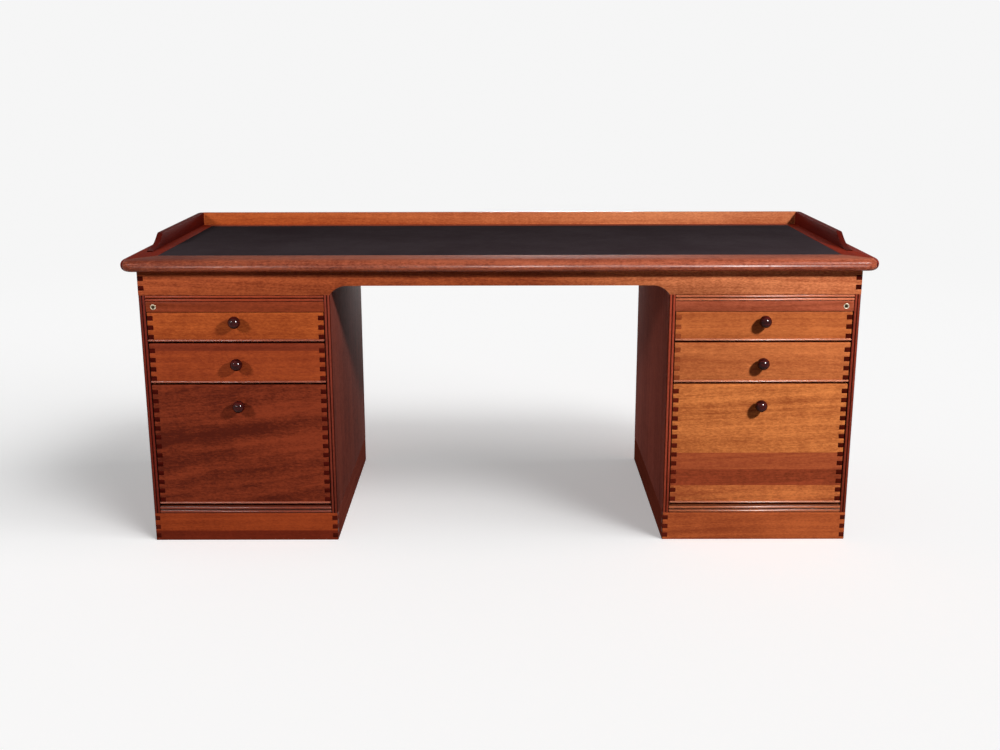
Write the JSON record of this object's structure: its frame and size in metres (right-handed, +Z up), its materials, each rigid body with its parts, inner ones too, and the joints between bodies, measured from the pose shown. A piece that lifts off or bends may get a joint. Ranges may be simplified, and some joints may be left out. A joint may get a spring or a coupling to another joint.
{
  "type": "pedestal desk",
  "caption": "Wooden pedestal desk with a leather-lined top, a low gallery, an arched kneehole and side-hung drawers that slide, one lock in each pedestal.",
  "frame": {"origin": "on the floor under the middle of the top", "axes": "+X along the desk to the sitter's right, +Y from the sitter towards the gallery at the back, +Z up"},
  "size_m": [1.866, 0.745, 0.777],
  "materials": {
    "orange_mahogany": "waxed satin mahogany, orange-brown heart figure",
    "red_mahogany": "waxed satin mahogany, red-brown straight grain",
    "dark_mahogany": "waxed satin mahogany, dark brown end grain",
    "rosewood": "polished dark rosewood",
    "carcase_wood": "planed unpolished mahogany",
    "leather": "matt charcoal leather",
    "lock_brass": "worn nickelled brass",
    "lock_steel": "plain rolled steel"
  },
  "bodies": {
    "desk": {"top_rail_front": "red_mahogany", "top_rail_back": "red_mahogany", "top_rail_left": "red_mahogany", "top_rail_right": "red_mahogany", "apron_front": "orange_mahogany", "apron_back": "orange_mahogany", "apron_left": "orange_mahogany", "apron_right": "orange_mahogany", "top_panel": "carcase_wood", "writing_surface": "leather", "gallery_back": "orange_mahogany", "gallery_left": "red_mahogany", "gallery_right": "red_mahogany", "top_bearers": "carcase_wood", "left_side_outer": "red_mahogany", "left_side_inner": "red_mahogany", "left_back_panel": "red_mahogany", "left_top_board": "red_mahogany", "left_bottom_board": "red_mahogany", "left_lock_rail": "dark_mahogany", "left_plinth": "dark_mahogany", "left_runners": "carcase_wood", "left_lock_fittings": "lock_brass", "right_side_outer": "red_mahogany", "right_side_inner": "red_mahogany", "right_back_panel": "red_mahogany", "right_top_board": "red_mahogany", "right_bottom_board": "red_mahogany", "right_lock_rail": "dark_mahogany", "right_plinth": "dark_mahogany", "right_runners": "carcase_wood", "right_lock_fittings": "lock_brass"},
    "left_deep_drawer": {"left_deep_drawer_front": "red_mahogany", "left_deep_drawer_box": "dark_mahogany", "left_deep_drawer_bottom": "red_mahogany", "left_deep_drawer_knob": "rosewood"},
    "left_middle_drawer": {"left_middle_drawer_front": "red_mahogany", "left_middle_drawer_box": "dark_mahogany", "left_middle_drawer_bottom": "red_mahogany", "left_middle_drawer_knob": "rosewood"},
    "left_upper_drawer": {"left_upper_drawer_front": "orange_mahogany", "left_upper_drawer_box": "dark_mahogany", "left_upper_drawer_bottom": "red_mahogany", "left_upper_drawer_knob": "rosewood"},
    "left_lock_plug": {"left_lock_plug": "lock_brass"},
    "left_lock_bar": {"left_lock_bar": "lock_steel"},
    "right_deep_drawer": {"right_deep_drawer_front": "red_mahogany", "right_deep_drawer_box": "dark_mahogany", "right_deep_drawer_bottom": "red_mahogany", "right_deep_drawer_knob": "rosewood"},
    "right_middle_drawer": {"right_middle_drawer_front": "orange_mahogany", "right_middle_drawer_box": "dark_mahogany", "right_middle_drawer_bottom": "red_mahogany", "right_middle_drawer_knob": "rosewood"},
    "right_upper_drawer": {"right_upper_drawer_front": "orange_mahogany", "right_upper_drawer_box": "dark_mahogany", "right_upper_drawer_bottom": "red_mahogany", "right_upper_drawer_knob": "rosewood"},
    "right_lock_plug": {"right_lock_plug": "lock_brass"},
    "right_lock_bar": {"right_lock_bar": "lock_steel"}
  },
  "joints": [
    {"name": "left_deep_drawer_slide", "type": "slide", "parent": "desk", "child": "left_deep_drawer", "axis": [0, -1, 0], "range_m": [0, 0.43]},
    {"name": "left_middle_drawer_slide", "type": "slide", "parent": "desk", "child": "left_middle_drawer", "axis": [0, -1, 0], "range_m": [0, 0.43]},
    {"name": "left_upper_drawer_slide", "type": "slide", "parent": "desk", "child": "left_upper_drawer", "axis": [0, -1, 0], "range_m": [0, 0.43]},
    {"name": "left_lock_turn", "type": "hinge", "parent": "desk", "child": "left_lock_plug", "pos_m": [-0.863, -0.335, 0.618], "axis": [0, -1, 0], "range_deg": [0, 90]},
    {"name": "left_lock_bar_lift", "type": "slide", "parent": "desk", "child": "left_lock_bar", "axis": [0, 0, 1], "range_m": [0, 0.00848]},
    {"name": "right_deep_drawer_slide", "type": "slide", "parent": "desk", "child": "right_deep_drawer", "axis": [0, -1, 0], "range_m": [0, 0.43]},
    {"name": "right_middle_drawer_slide", "type": "slide", "parent": "desk", "child": "right_middle_drawer", "axis": [0, -1, 0], "range_m": [0, 0.43]},
    {"name": "right_upper_drawer_slide", "type": "slide", "parent": "desk", "child": "right_upper_drawer", "axis": [0, -1, 0], "range_m": [0, 0.43]},
    {"name": "right_lock_turn", "type": "hinge", "parent": "desk", "child": "right_lock_plug", "pos_m": [0.863, -0.335, 0.618], "axis": [0, 1, 0], "range_deg": [0, 90]},
    {"name": "right_lock_bar_lift", "type": "slide", "parent": "desk", "child": "right_lock_bar", "axis": [0, 0, 1], "range_m": [0, 0.00848]}
  ],
  "couplings": [
    {"joint": "left_lock_turn", "follows": "left_lock_bar_lift", "rad_per_m": 185.2},
    {"joint": "right_lock_turn", "follows": "right_lock_bar_lift", "rad_per_m": 185.2}
  ]
}
